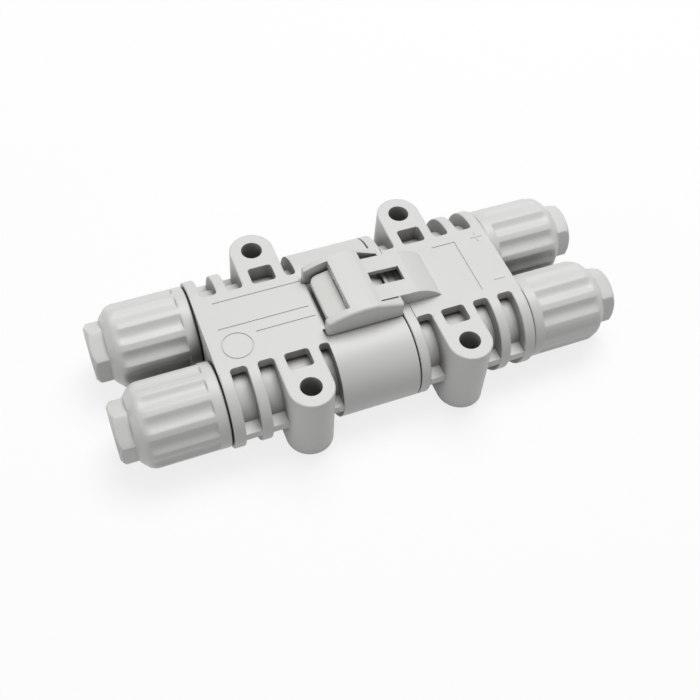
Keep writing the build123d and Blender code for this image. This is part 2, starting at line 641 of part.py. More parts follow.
# Socket: a long brass tube for the pin, with the same wire terminal at its cable end
with BuildPart() as contact_socket:
    add(turned([(SOCKET_MOUTH, CONTACT_R), (CONTACT_END, CONTACT_R)], 0))
    with Locations((SOCKET_MOUTH, 0, 0)):
        Cylinder(PIN_R + CONTACT_FIT, SOCKET_DEPTH, rotation=(0, 90, 0), align=LOW_END, mode=Mode.SUBTRACT)
    with Locations((CONTACT_END - WIRE_HOLE_DEPTH, 0, 0)):
        Cylinder(WIRE_HOLE_R, WIRE_HOLE_DEPTH, rotation=(0, 90, 0), align=LOW_END, mode=Mode.SUBTRACT)
    with Locations((SCREW_X, 0, 0)):
        Cylinder(SCREW_R + CONTACT_FIT, CONTACT_R, align=LOW_END, mode=Mode.SUBTRACT)

# Carriers: insulating plugs that hold the contacts, each with a hole over its terminal screw
hole_r = CONTACT_R + CONTACT_FIT
with BuildPart() as pin_carrier:
    add(turned([(-CARRIER_CABLE_END, CARRIER_R), (SLEEVE_FLOOR, CARRIER_R)], PIN_R + CONTACT_FIT))
    with Locations((-CARRIER_CABLE_END, 0, 0)):
        depth = CONTACT_INSET + TERMINAL_LENGTH
        Cylinder(hole_r, depth, rotation=(0, 90, 0), align=LOW_END, mode=Mode.SUBTRACT)
    with Locations((-SCREW_X, 0, 0)):
        Cylinder(SCREW_R + CARRIER_CLEARANCE, CARRIER_R, align=LOW_END, mode=Mode.SUBTRACT)
with BuildPart() as socket_carrier:
    add(turned([(NOSE_END, CARRIER_R), (CARRIER_CABLE_END, CARRIER_R)], PIN_R + CARRIER_CLEARANCE))
    with Locations((SOCKET_MOUTH, 0, 0)):
        depth = CARRIER_CABLE_END - SOCKET_MOUTH
        Cylinder(hole_r, depth, rotation=(0, 90, 0), align=LOW_END, mode=Mode.SUBTRACT)
    with Locations((SCREW_X, 0, 0)):
        Cylinder(SCREW_R + CARRIER_CLEARANCE, CARRIER_R, align=LOW_END, mode=Mode.SUBTRACT)

# Terminal screw: a slotted grub screw that ends in the wire hole
with BuildPart() as terminal_screw:
    with Locations((0, 0, WIRE_HOLE_R)):
        Cylinder(SCREW_R, SCREW_LENGTH, align=LOW_END)
    with Locations((0, 0, WIRE_HOLE_R + SCREW_LENGTH)):
        Box(2 * SCREW_R, SCREW_SLOT, 2 * SCREW_SLOT, mode=Mode.SUBTRACT)

# Seals where the halves meet: a black ring round each nose, and an O-ring in its groove
face_seal = turned(
    [(SLEEVE_MOUTH, RING_R - FACE_SEAL_RECESS), (JOINT_FACE, RING_R - FACE_SEAL_RECESS)],
    NOSE_R + SEAL_FIT,
)
with BuildPart() as nose_oring:
    ring_r = SLEEVE_BORE_R - ORING_CLEARANCE - ORING_SECTION_R
    with Locations((ORING_X, 0, 0)):
        Torus(ring_r, ORING_SECTION_R, rotation=(0, 90, 0))

for row, y in (("front", -BARREL_Y), ("rear", BARREL_Y)):
    seat = Location((0, y, AXIS_Z))
    save(contact_pin.part.moved(seat), f"{row}_contact_pin")
    save(contact_socket.part.moved(seat), f"{row}_contact_socket")
    save(pin_carrier.part.moved(seat), f"{row}_pin_carrier")
    save(socket_carrier.part.moved(seat), f"{row}_socket_carrier")
    save(face_seal.moved(seat), f"{row}_face_seal")
    save(nose_oring.part.moved(seat), f"{row}_nose_oring")
    for end, x in (("left", -SCREW_X), ("right", SCREW_X)):
        save(terminal_screw.part.moved(seat * Location((x, 0, 0))), f"{row}_{end}_terminal_screw")
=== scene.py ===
import json
import math

import bmesh
import bpy
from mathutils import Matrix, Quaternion, Vector


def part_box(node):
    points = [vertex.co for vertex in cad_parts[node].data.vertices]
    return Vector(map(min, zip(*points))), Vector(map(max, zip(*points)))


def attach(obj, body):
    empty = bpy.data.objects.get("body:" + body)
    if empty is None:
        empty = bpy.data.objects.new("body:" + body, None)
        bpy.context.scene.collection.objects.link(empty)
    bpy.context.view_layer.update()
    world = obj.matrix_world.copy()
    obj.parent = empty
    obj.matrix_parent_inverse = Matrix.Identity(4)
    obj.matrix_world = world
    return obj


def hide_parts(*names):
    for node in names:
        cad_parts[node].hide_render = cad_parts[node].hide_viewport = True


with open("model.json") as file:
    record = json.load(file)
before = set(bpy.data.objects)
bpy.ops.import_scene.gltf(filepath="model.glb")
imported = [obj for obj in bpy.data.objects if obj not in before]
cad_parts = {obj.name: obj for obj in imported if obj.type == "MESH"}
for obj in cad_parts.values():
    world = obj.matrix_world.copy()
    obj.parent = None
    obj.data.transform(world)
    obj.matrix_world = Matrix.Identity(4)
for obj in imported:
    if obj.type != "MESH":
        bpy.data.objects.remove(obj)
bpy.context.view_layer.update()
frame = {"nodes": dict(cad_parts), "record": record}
nodes = frame["nodes"]
scene = bpy.context.scene
scene.view_settings.view_transform = "Standard"

# Camera: it stands in front of the left end, well above the connector, and looks down on the
# plate. The lens is a little longer than normal, and the camera is tipped by a few degrees.
LENS = 51.37
CAMERA_PLACE = (-0.06316, -0.13141, 0.19654)
CAMERA_AIM = (0.2552, 0.5373, -0.8039)
CAMERA_TIP = math.radians(4.962)
camera_data = bpy.data.cameras.new("camera")
camera_data.lens = LENS
camera = bpy.data.objects.new("camera", camera_data)
scene.collection.objects.link(camera)
camera.location = CAMERA_PLACE
camera.rotation_mode = "QUATERNION"
looking = Vector(CAMERA_AIM).to_track_quat("-Z", "Y")
camera.rotation_quaternion = looking @ Quaternion((0, 0, 1), CAMERA_TIP)
camera_data.clip_start = 0.005
camera_data.clip_end = 10
scene.camera = camera

# Studio: a sheet of white paper in a bright room. To the camera and in reflections both are
# plain white. They light the connector softly all round, and the paper keeps its shadow.
FLOOR_HALF = 3
FLOOR_DROP = 0.0001
WHITE = (1, 1, 1, 1)
PAPER_BOUNCE = (0.62, 0.62, 0.62, 1)
PAPER_NEAR = 0.10
PAPER_FAR = 0.45
NEAR_WHITENESS = 0.8
FAR_WHITENESS = 1.0
ROOM_STRENGTH = 0.25


def seen_directly(tree):
    """A value of 1 for camera, glossy and transmission rays, and 0 for the light that bounces."""
    rays = tree.nodes.new("ShaderNodeLightPath")
    either = tree.nodes.new("ShaderNodeMath")
    either.operation = "MAXIMUM"
    any_of_them = tree.nodes.new("ShaderNodeMath")
    any_of_them.operation = "MAXIMUM"
    tree.links.new(rays.outputs["Is Camera Ray"], either.inputs[0])
    tree.links.new(rays.outputs["Is Glossy Ray"], either.inputs[1])
    tree.links.new(either.outputs[0], any_of_them.inputs[0])
    tree.links.new(rays.outputs["Is Transmission Ray"], any_of_them.inputs[1])
    return any_of_them.outputs[0]


floor_mesh = bpy.data.meshes.new("paper_floor")
floor_mesh.from_pydata(
    [
        (-FLOOR_HALF, -FLOOR_HALF, 0),
        (FLOOR_HALF, -FLOOR_HALF, 0),
        (FLOOR_HALF, FLOOR_HALF, 0),
        (-FLOOR_HALF, FLOOR_HALF, 0),
    ],
    [],
    [(0, 1, 2, 3)],
)
floor = bpy.data.objects.new("paper_floor", floor_mesh)
floor.location.z = -FLOOR_DROP
scene.collection.objects.link(floor)

paper = bpy.data.materials.new("white_paper")
paper.use_nodes = True
tree = paper.node_tree
tree.nodes.clear()
grey_paper = tree.nodes.new("ShaderNodeBsdfDiffuse")
grey_paper.inputs["Color"].default_value = PAPER_BOUNCE
lit_paper = tree.nodes.new("ShaderNodeBsdfDiffuse")
lit_paper.inputs["Color"].default_value = WHITE
white_paper = tree.nodes.new("ShaderNodeEmission")
white_paper.inputs["Color"].default_value = WHITE
shown_paper = tree.nodes.new("ShaderNodeMixShader")
paper_place = tree.nodes.new("ShaderNodeTexCoord")
from_middle = tree.nodes.new("ShaderNodeVectorMath")
from_middle.operation = "LENGTH"
whiter = tree.nodes.new("ShaderNodeMapRange")
whiter.inputs["From Min"].default_value = PAPER_NEAR
whiter.inputs["From Max"].default_value = PAPER_FAR
whiter.inputs["To Min"].default_value = NEAR_WHITENESS
whiter.inputs["To Max"].default_value = FAR_WHITENESS
choose = tree.nodes.new("ShaderNodeMixShader")
paper_out = tree.nodes.new("ShaderNodeOutputMaterial")
tree.links.new(paper_place.outputs["Object"], from_middle.inputs[0])
tree.links.new(from_middle.outputs["Value"], whiter.inputs["Value"])
tree.links.new(whiter.outputs["Result"], shown_paper.inputs[0])
tree.links.new(lit_paper.outputs[0], shown_paper.inputs[1])
tree.links.new(white_paper.outputs[0], shown_paper.inputs[2])
tree.links.new(seen_directly(tree), choose.inputs[0])
tree.links.new(grey_paper.outputs[0], choose.inputs[1])
tree.links.new(shown_paper.outputs[0], choose.inputs[2])
tree.links.new(choose.outputs[0], paper_out.inputs["Surface"])
floor_mesh.materials.append(paper)

room = bpy.data.worlds.new("bright_room")
room.use_nodes = True
scene.world = room
tree = room.node_tree
tree.nodes.clear()
soft_room = tree.nodes.new("ShaderNodeBackground")
soft_room.inputs["Color"].default_value = WHITE
soft_room.inputs["Strength"].default_value = ROOM_STRENGTH
white_room = tree.nodes.new("ShaderNodeBackground")
white_room.inputs["Color"].default_value = WHITE
choose = tree.nodes.new("ShaderNodeMixShader")
room_out = tree.nodes.new("ShaderNodeOutputWorld")
tree.links.new(seen_directly(tree), choose.inputs[0])
tree.links.new(soft_room.outputs[0], choose.inputs[1])
tree.links.new(white_room.outputs[0], choose.inputs[2])
tree.links.new(choose.outputs[0], room_out.inputs["Surface"])

# Lamps: a softbox hangs over the connector, a little behind it and to its right, so that the
# front of each barrel turns into shade. A weak one on the left lights the ends of the nuts.
LAMP_AIM = Vector((0, 0, 0.012))
lamps = {
    "overhead_softbox": ((0.14, 0.175, 0.70), 0.45, 3.95),
    "left_softbox": ((-0.60, -0.05, 0.20), 0.30, 0.45),
}
for name, (place, size, watts) in lamps.items():
    lamp_data = bpy.data.lights.new(name, "AREA")
    lamp_data.size = size
    lamp_data.energy = watts
    lamp = bpy.data.objects.new(name, lamp_data)
    lamp.location = place
    lamp.rotation_mode = "QUATERNION"
    lamp.rotation_quaternion = (LAMP_AIM - lamp.location).to_track_quat("-Z", "Y")
    scene.collection.objects.link(lamp)

# Housings: two glass-filled nylon mouldings in light grey. The mould leaves a fine satin grain
# and softly rounded edges. The edges get a painted highlight, and slots, holes and walls painted
# shade.
# Share of the paler colour painted onto the edges as a highlight.
EDGE_HIGHLIGHT_SHARE = 0.5
# Share of the dark colour painted into recesses and onto upright walls as shade.
RECESS_SHADE_SHARE = 0.85
GLOSS_SPREAD = 0.05
GRAIN_STRENGTH = 0.25
GRAIN_HEIGHT = 0.00003
RECESS_SAMPLES = 8
EDGE_SAMPLES = 6


def values_group(name, inputs, outputs):
    """An empty shader group, with its input and output nodes."""
    group = bpy.data.node_groups.new(name, "ShaderNodeTree")
    for label, value in inputs.items():
        socket = group.interface.new_socket(
            label, in_out="INPUT", socket_type="NodeSocketFloat"
        )
        socket.default_value = value
    for label, kind in outputs.items():
        group.interface.new_socket(label, in_out="OUTPUT", socket_type=kind)
    taken = group.nodes.new("NodeGroupInput")
    given = group.nodes.new("NodeGroupOutput")
    return group, taken, given


def grain_group():
    """Group: the fine grain of the mould as a height, and a wide cloudy tone."""
    group, taken, given = values_group(
        "mould_grain",
        {"Grain Size": 9000.0, "Cloud Size": 60.0},
        {"Grain": "NodeSocketFloat", "Cloud": "NodeSocketFloat"},
    )
    place = group.nodes.new("ShaderNodeTexCoord")
    fine = group.nodes.new("ShaderNodeTexNoise")
    fine.inputs["Detail"].default_value = 3
    fine.inputs["Roughness"].default_value = 0.6
    wide = group.nodes.new("ShaderNodeTexNoise")
    wide.inputs["Detail"].default_value = 4
    link = group.links.new
    link(place.outputs["Object"], fine.inputs["Vector"])
    link(place.outputs["Object"], wide.inputs["Vector"])
    link(taken.outputs["Grain Size"], fine.inputs["Scale"])
    link(taken.outputs["Cloud Size"], wide.inputs["Scale"])
    link(fine.outputs["Fac"], given.inputs["Grain"])
    link(wide.outputs["Fac"], given.inputs["Cloud"])
    return group


def recess_group():
    """Group: painted shade mask, by how deep a place lies in a slot, hole or gap, 0 in the open
    to 1.

    Upright walls take the painted shade sooner than surfaces that face up.
    """
    group, taken, given = values_group(
        "recess_shade_mask",
        {"Reach": 0.006, "Open": 0.68, "Upright Open": 0.15, "Deep": 0.92},
        {"Recess": "NodeSocketFloat"},
    )
    open_share = group.nodes.new("ShaderNodeAmbientOcclusion")
    open_share.samples = RECESS_SAMPLES
    covered = group.nodes.new("ShaderNodeMath")
    covered.operation = "SUBTRACT"
    covered.inputs[0].default_value = 1.0
    surface = group.nodes.new("ShaderNodeNewGeometry")
    facing = group.nodes.new("ShaderNodeSeparateXYZ")
    level = group.nodes.new("ShaderNodeMath")
    level.operation = "ABSOLUTE"
    threshold = group.nodes.new("ShaderNodeMapRange")
    threshold.interpolation_type = "SMOOTHSTEP"
    spread = group.nodes.new("ShaderNodeMapRange")
    link = group.links.new
    link(taken.outputs["Reach"], open_share.inputs["Distance"])
    link(open_share.outputs["AO"], covered.inputs[1])
    link(surface.outputs["True Normal"], facing.inputs[0])
    link(facing.outputs["Z"], level.inputs[0])
    link(level.outputs[0], threshold.inputs["Value"])
    link(taken.outputs["Upright Open"], threshold.inputs["To Min"])
    link(taken.outputs["Open"], threshold.inputs["To Max"])
    link(covered.outputs[0], spread.inputs["Value"])
    link(threshold.outputs["Result"], spread.inputs["From Min"])
    link(taken.outputs["Deep"], spread.inputs["From Max"])
    link(spread.outputs["Result"], given.inputs["Recess"])
    return group


def edge_group():
    """Group: normals that round the edges off, and a mask of those edges."""
    group, taken, given = values_group(
        "soft_edges",
        {"Radius": 0.0002, "Width": 2.5},
        {"Normal": "NodeSocketVector", "Edge": "NodeSocketFloat"},
    )
    rounded = group.nodes.new("ShaderNodeBevel")
    rounded.samples = EDGE_SAMPLES
    surface = group.nodes.new("ShaderNodeNewGeometry")
    agree = group.nodes.new("ShaderNodeVectorMath")
    agree.operation = "DOT_PRODUCT"
    differ = group.nodes.new("ShaderNodeMath")
    differ.operation = "SUBTRACT"
    differ.inputs[0].default_value = 1.0
    wider = group.nodes.new("ShaderNodeMath")
    wider.operation = "MULTIPLY"
    wider.use_clamp = True
    link = group.links.new
    link(taken.outputs["Radius"], rounded.inputs["Radius"])
    link(rounded.outputs["Normal"], agree.inputs[0])
    link(surface.outputs["Normal"], agree.inputs[1])
    link(agree.outputs["Value"], differ.inputs[1])
    link(differ.outputs[0], wider.inputs[0])
    link(taken.outputs["Width"], wider.inputs[1])
    link(rounded.outputs["Normal"], given.inputs["Normal"])
    link(wider.outputs[0], given.inputs["Edge"])
    return group


mould_grain = grain_group()
recess_shade_mask = recess_group()
soft_edges = edge_group()


def placed_group(tree, group, **values):
    """Put a group into a material's tree and set its values."""
    made = tree.nodes.new("ShaderNodeGroup")
    made.node_tree = group
    for label, value in values.items():
        made.inputs[label.replace("_", " ")].default_value = value
    return made


def colour_mix(tree, first, second):
    """A mix of two colours, each a plain colour or a socket to link."""
    mix = tree.nodes.new("ShaderNodeMix")
    mix.data_type = "RGBA"
    for label, colour in (("A", first), ("B", second)):
        if isinstance(colour, tuple):
            mix.inputs[label].default_value = (*colour, 1)
        else:
            tree.links.new(colour, mix.inputs[label])
    return mix


def share(tree, socket, part):
    """A value times a fixed share."""
    times = tree.nodes.new("ShaderNodeMath")
    times.operation = "MULTIPLY"
    times.inputs[1].default_value = part
    tree.links.new(socket, times.inputs[0])
    return times.outputs[0]


def moulded_plastic(name, light, dark, edge_highlight, deep, roughness, edge_radius, recess_values=None):
    """A satin moulded plastic: two close tones, a painted highlight on the edges, painted shade
    in recesses and a fine grain.
    """
    material = bpy.data.materials.new(name)
    material.use_nodes = True
    tree = material.node_tree
    finish = tree.nodes["Principled BSDF"]
    grain = placed_group(tree, mould_grain)
    recess = placed_group(tree, recess_shade_mask, **(recess_values or {}))
    edges = placed_group(tree, soft_edges, Radius=edge_radius)
    tone = colour_mix(tree, dark, light)
    # The edge mask paints a paler highlight along the edges.
    highlighted_edges = colour_mix(tree, tone.outputs["Result"], edge_highlight)
    # The recess mask paints shade into slots, holes, gaps and onto upright walls.
    shaded_recesses = colour_mix(tree, highlighted_edges.outputs["Result"], deep)
    gloss = tree.nodes.new("ShaderNodeMapRange")
    gloss.inputs["To Min"].default_value = roughness - GLOSS_SPREAD
    gloss.inputs["To Max"].default_value = roughness + GLOSS_SPREAD
    bump = tree.nodes.new("ShaderNodeBump")
    bump.inputs["Strength"].default_value = GRAIN_STRENGTH
    bump.inputs["Distance"].default_value = GRAIN_HEIGHT
    link = tree.links.new
    link(grain.outputs["Cloud"], tone.inputs["Factor"])
    link(share(tree, edges.outputs["Edge"], EDGE_HIGHLIGHT_SHARE), highlighted_edges.inputs["Factor"])
    link(share(tree, recess.outputs["Recess"], RECESS_SHADE_SHARE), shaded_recesses.inputs["Factor"])
    link(shaded_recesses.outputs["Result"], finish.inputs["Base Color"])
    link(grain.outputs["Cloud"], gloss.inputs["Value"])
    link(gloss.outputs["Result"], finish.inputs["Roughness"])
    link(edges.outputs["Normal"], bump.inputs["Normal"])
    link(grain.outputs["Grain"], bump.inputs["Height"])
    link(bump.outputs["Normal"], finish.inputs["Normal"])
    return material


def dress(piece, material):
    """Give a piece the one finish in every material slot."""
    piece.data.materials.clear()
    piece.data.materials.append(material)


housing_grey = moulded_plastic(
    "housing_grey_nylon",
    light=(0.71, 0.71, 0.69),
    dark=(0.67, 0.67, 0.65),
    edge_highlight=(0.80, 0.80, 0.78),
    deep=(0.11, 0.107, 0.103),
    roughness=0.44,
    edge_radius=0.00015,
)
dress(nodes["left_housing"], housing_grey)
dress(nodes["right_housing"], housing_grey)

# Polarity signs: a small plus for the rear contact and a minus for the front one, raised on the
# right housing's plate by shallow cuts in the same mould.
PLUS_PLACE = (0.0335, 0.0074)
MINUS_PLACE = (0.0332, -0.0062)
plate_z = next(m for m in frame["record"]["mounts"] if m["name"] == "lug_holes")["pos_m"][2]
SIGN_ARM = 0.0014
SIGN_HALF_STROKE = 0.00021
SIGN_HEIGHT = 0.00016
SIGN_DRAFT = 0.00008
SIGN_ROOT = 0.00005


def plus_outline(arm, half_stroke):
    """The twelve corners of a plus sign, anticlockwise."""
    quarter = [(arm, -half_stroke), (arm, half_stroke), (half_stroke, half_stroke)]
    corners = []
    for turn in range(4):
        for x, y in quarter:
            corners.append((x, y))
        quarter = [(-y, x) for x, y in quarter]
    return corners


def minus_outline(arm, half_stroke):
    """The four corners of a minus sign, anticlockwise."""
    return [(arm, half_stroke), (-arm, half_stroke), (-arm, -half_stroke), (arm, -half_stroke)]


def join_rings(shape, rings):
    """Skin between each ring of points and the next."""
    for before, after in zip(rings, rings[1:]):
        for i in range(len(before)):
            j = (i + 1) % len(before)
            shape.faces.new((before[i], before[j], after[j], after[i]))


def new_piece(name, shape, material):
    """An object made from a finished shape, in one material."""
    mesh = bpy.data.meshes.new(name)
    shape.to_mesh(mesh)
    shape.free()
    piece = bpy.data.objects.new(name, mesh)
    scene.collection.objects.link(piece)
    dress(piece, material)
    return piece


def raised_sign(name, outline, place):
    """A sign that stands a little above the plate, with drafted sides and a flat top."""
    x, y = place
    levels = [
        (plate_z - SIGN_ROOT, 0.0),
        (plate_z + SIGN_HEIGHT / 2, SIGN_DRAFT / 4),
        (plate_z + SIGN_HEIGHT, SIGN_DRAFT),
    ]
    shape = bmesh.new()
    rings = []
    for z, inset in levels:
        corners = outline(SIGN_ARM - inset, SIGN_HALF_STROKE - inset)
        rings.append([shape.verts.new((x + cx, y + cy, z)) for cx, cy in corners])
    join_rings(shape, rings)
    shape.faces.new(rings[-1])
    shape.faces.new(reversed(rings[0]))
    piece = new_piece(name, shape, housing_grey)
    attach(piece, "connector")


raised_sign("plus_sign", plus_outline, PLUS_PLACE)
raised_sign("minus_sign", minus_outline, MINUS_PLACE)

# Gland threads: each housing's spigot carries a shallow round-topped thread, part of the same
# moulding. It shows when a nut is backed off, and the nut's bore clears it.
SPIGOT_R = 0.0079
THREAD_START = 0.0371
THREAD_END = 0.0468
THREAD_PITCH = 0.0015
THREAD_HEIGHT = 0.00008
THREAD_ROOT = 0.00006
THREAD_HALF_FOOT = 0.00042
THREAD_HALF_CREST = 0.00014
THREAD_STEPS = 96
THREAD_FADE = 0.25
ring_z = plate_z / 2
seal_lo, seal_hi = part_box("front_face_seal")
row_y = abs(seal_lo[1] + seal_hi[1]) / 2
glands = {
    "front_left": (-1, -row_y),
    "rear_left": (-1, row_y),
    "front_right": (1, -row_y),
    "rear_right": (1, row_y),
}


def thread(name, side, y):
    """A right-hand helical ridge on one spigot, which fades in and out at its ends."""
    turns = (THREAD_END - THREAD_START) / THREAD_PITCH
    count = round(turns * THREAD_STEPS)
    shape = bmesh.new()
    loops = []
    for step in range(count + 1):
        turn = step / THREAD_STEPS
        x = THREAD_START + turn * THREAD_PITCH
        angle = turn * math.tau
        grown = min(1.0, turn / THREAD_FADE, (count - step) / THREAD_STEPS / THREAD_FADE)
        crest = SPIGOT_R - THREAD_ROOT + (THREAD_ROOT + THREAD_HEIGHT) * grown
        section = [
            (-THREAD_HALF_FOOT, SPIGOT_R - THREAD_ROOT),
            (-THREAD_HALF_CREST, crest),
            (THREAD_HALF_CREST, crest),
            (THREAD_HALF_FOOT, SPIGOT_R - THREAD_ROOT),
        ]
        across = side * math.cos(angle)
        up = math.sin(angle)
        loop = []
        for along, radius in section:
            point = (side * (x + along), y + across * radius, ring_z + up * radius)
            loop.append(shape.verts.new(point))
        loops.append(loop)
    join_rings(shape, loops)
    shape.faces.new(loops[0])
    shape.faces.new(reversed(loops[-1]))
    bmesh.ops.recalc_face_normals(shape, faces=shape.faces)
    piece = new_piece(name, shape, housing_grey)
    piece.data.shade_smooth()
    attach(piece, "connector")


for gland, (side, y) in glands.items():
    thread(f"{gland}_gland_thread", side, y)

# Release lever: the same plastic from another mould, so that its pad is a shade warmer. It rocks
# on two short stubs in the side walls of the hood.
lever_grey = moulded_plastic(
    "lever_grey_nylon",
    light=(0.70, 0.70, 0.675),
    dark=(0.66, 0.66, 0.635),
    edge_highlight=(0.80, 0.80, 0.775),
    deep=(0.11, 0.107, 0.103),
    roughness=0.42,
    edge_radius=0.00012,
)
dress(nodes["release_lever"], lever_grey)

# Gland nuts: four nylon mouldings with scooped flutes for the fingers and a hexagon nose for a
# spanner. The flutes start at a plain collar and fade out over the rounded shoulder. Each nut
# screws onto a spigot, and stands as far round as its own thread left it.
NUT_MOUTH_ROUND = 0.0005
NUT_COLLAR = 0.0026
NUT_FLUTE_WALL = 0.0003
NUT_BODY_END = 0.0176
NUT_SHOULDER_ROUND = 0.0030
NUT_CONE_END = 0.0199
NUT_CONE_R = 0.0074
HEX_HALF_ACROSS = 0.0063
HEX_CORNER_R = 0.0073
HEX_CORNER_SHARPNESS = 24
HEX_SIDE_ANGLE = math.radians(60)
HEX_FOOT = 0.00025
NOSE_END_R = 0.0061
NOSE_ROUND = 0.0002
NUT_BORE_R = 0.0080
CLAW_SEAT = 0.01315
CLAW_SEAT_WIDE_R = 0.0076
CLAW_SEAT_END = 0.01935
CLAW_SEAT_NARROW_R = 0.0056
CABLE_ENTRY_R = 0.0040
ENTRY_CHAMFER = 0.0005
FLUTES = 12
FLUTE_DEPTH = 0.00068
FLUTE_HALF_ANGLE = math.radians(11.2)
FLUTE_FADE_START = 0.0160
FLUTE_FADE_END = 0.0184
FLUTE_FULLNESS = 1.3
COLUMNS_PER_FLUTE = 32
ROUND_STEPS = 4
COLLAR_STEPS = 3
BODY_STEPS = 24
SHOULDER_STEPS = 12
NOSE_STEPS = 20
NUT_SHARP_ANGLE = math.radians(38)
NUT_TURNS = {"front_left": 6.0, "rear_left": -3.0, "front_right": -14.0, "rear_right": -15.0}

nut_grey = moulded_plastic(
    "nut_grey_nylon",
    light=(0.71, 0.71, 0.69),
    dark=(0.67, 0.67, 0.65),
    edge_highlight=(0.78, 0.78, 0.76),
    deep=(0.06, 0.058, 0.056),
    roughness=0.40,
    edge_radius=0.0002,
    # On the nuts the painted shade reaches further, into the gaps between them.
    recess_values={"Reach": 0.008, "Open": 0.3, "Upright_Open": 0.3, "Deep": 0.8},
)


def flute_share(along):
    """How deep the flutes are: 0 on the collar, 1 on the body and 0 again on the cone."""
    if along <= NUT_COLLAR or along >= FLUTE_FADE_END:
        return 0.0
    rise = min(1.0, (along - NUT_COLLAR) / NUT_FLUTE_WALL)
    fade = min(1.0, (FLUTE_FADE_END - along) / (FLUTE_FADE_END - FLUTE_FADE_START))
    return rise * fade * fade * (3 - 2 * fade)


def quarter_turn(step):
    """The angle of one step of a rounded edge."""
    return math.radians(90 * step / ROUND_STEPS)


def nut_outside(length, radius):
    """The nut's outside, from its mouth to its nose, as (along, radius, hexagon share)."""
    section = []
    for step in range(ROUND_STEPS + 1):
        angle = quarter_turn(step)
        along = NUT_MOUTH_ROUND * (1 - math.cos(angle))
        section.append((along, radius - NUT_MOUTH_ROUND * (1 - math.sin(angle)), 0))
    cone_angle = math.atan2(radius - NUT_CONE_R, NUT_CONE_END - NUT_BODY_END)
    round_start = NUT_BODY_END - NUT_SHOULDER_ROUND * math.tan(cone_angle / 2)
    stations = [NUT_COLLAR - NUT_FLUTE_WALL, NUT_COLLAR]
    for step in range(1, COLLAR_STEPS + 1):
        stations.append(NUT_COLLAR + NUT_FLUTE_WALL * step / COLLAR_STEPS)
    body_start = stations[-1]
    for step in range(1, BODY_STEPS):
        stations.append(body_start + (round_start - body_start) * step / BODY_STEPS)
    section += [(along, radius, 0) for along in stations]
    for step in range(SHOULDER_STEPS + 1):
        angle = cone_angle * step / SHOULDER_STEPS
        along = round_start + NUT_SHOULDER_ROUND * math.sin(angle)
        section.append((along, radius - NUT_SHOULDER_ROUND * (1 - math.cos(angle)), 0))
    section.append((NUT_CONE_END, NUT_CONE_R, 0))
    for step in range(1, ROUND_STEPS + 1):
        angle = quarter_turn(step)
        along = NUT_CONE_END + HEX_FOOT * (1 - math.cos(angle))
        section.append((along, NUT_CONE_R, math.sin(angle)))
    nose_start = section[-1][0]
    for step in range(1, NOSE_STEPS):
        along = nose_start + (length - NOSE_ROUND - nose_start) * step / NOSE_STEPS
        section.append((along, NOSE_END_R + length - along, 1))
    for step in range(ROUND_STEPS + 1):
        angle = quarter_turn(step)
        along = length - NOSE_ROUND * (1 - math.sin(angle))
        section.append((along, NOSE_END_R - NOSE_ROUND * (1 - math.cos(angle)), 0))
    return section


def nut_inside(length):
    """The nut's bore, from the cable entry back to its mouth, in the same form."""
    return [
        (length, CABLE_ENTRY_R + ENTRY_CHAMFER, 0),
        (length - ENTRY_CHAMFER, CABLE_ENTRY_R, 0),
        (CLAW_SEAT_END, CABLE_ENTRY_R, 0),
        (CLAW_SEAT_END, CLAW_SEAT_NARROW_R, 0),
        (CLAW_SEAT, CLAW_SEAT_WIDE_R, 0),
        (CLAW_SEAT, NUT_BORE_R, 0),
        (0, NUT_BORE_R, 0),
    ]


def hexagon_radius(angle):
    """The hexagon's radius at an angle from one of its corners, with the corners rounded."""
    from_flat = angle % HEX_SIDE_ANGLE - HEX_SIDE_ANGLE / 2
    flat = HEX_HALF_ACROSS / math.cos(from_flat)
    power = -HEX_CORNER_SHARPNESS
    return (flat**power + HEX_CORNER_R**power) ** (1 / power)


def gland_nut(gland, side, y):
    """The nut's skin, ring by ring along its axis, with flutes and hexagon cut into the rings."""
    node = f"{gland}_gland_nut"
    lo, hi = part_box(node)
    start = min(abs(lo[0]), abs(hi[0]))
    length = abs(hi[0] - lo[0])
    radius = (hi[1] - lo[1]) / 2
    turned = math.radians(NUT_TURNS[gland])
    columns = FLUTES * COLUMNS_PER_FLUTE
    shape = bmesh.new()
    rings = []
    outside = nut_outside(length, radius)
    for index, (along, ring_r, hex_share) in enumerate(outside + nut_inside(length)):
        depth = FLUTE_DEPTH * flute_share(along) if index < len(outside) else 0.0
        ring = []
        for column in range(columns):
            angle = math.tau * column / columns
            from_flute = (angle + math.pi / FLUTES) % (math.tau / FLUTES) - math.pi / FLUTES
            across = min(1.0, abs(from_flute) / FLUTE_HALF_ANGLE)
            r = ring_r - depth * (1 - across**2) ** FLUTE_FULLNESS
            if hex_share:
                flat_r = min(hexagon_radius(angle), ring_r)
                r += (flat_r - r) * hex_share
            over = turned + angle
            point = (side * (start + along), y - r * math.sin(over), ring_z + r * math.cos(over))
            ring.append(shape.verts.new(point))
        rings.append(ring)
    join_rings(shape, rings + rings[:1])
    bmesh.ops.recalc_face_normals(shape, faces=shape.faces)
    piece = new_piece(f"{gland}_fluted_nut", shape, nut_grey)
    piece.data.shade_smooth()
    piece.data.set_sharp_from_angle(angle=NUT_SHARP_ANGLE)
    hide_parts(node)
    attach(piece, f"{gland}_nut")


for gland, (side, y) in glands.items():
    gland_nut(gland, side, y)

# Clamping claws: one ring of natural white nylon fingers, moulded in one piece, in each nut. The
# cone inside the nut squeezes the fingers onto the cable's jacket.
claw_white = moulded_plastic(
    "claw_natural_nylon",
    light=(0.80, 0.80, 0.76),
    dark=(0.75, 0.75, 0.71),
    edge_highlight=(0.84, 0.84, 0.80),
    deep=(0.30, 0.29, 0.27),
    roughness=0.40,
    edge_radius=0.0001,
)
for gland in glands:
    dress(nodes[f"{gland}_clamping_claw"], claw_white)

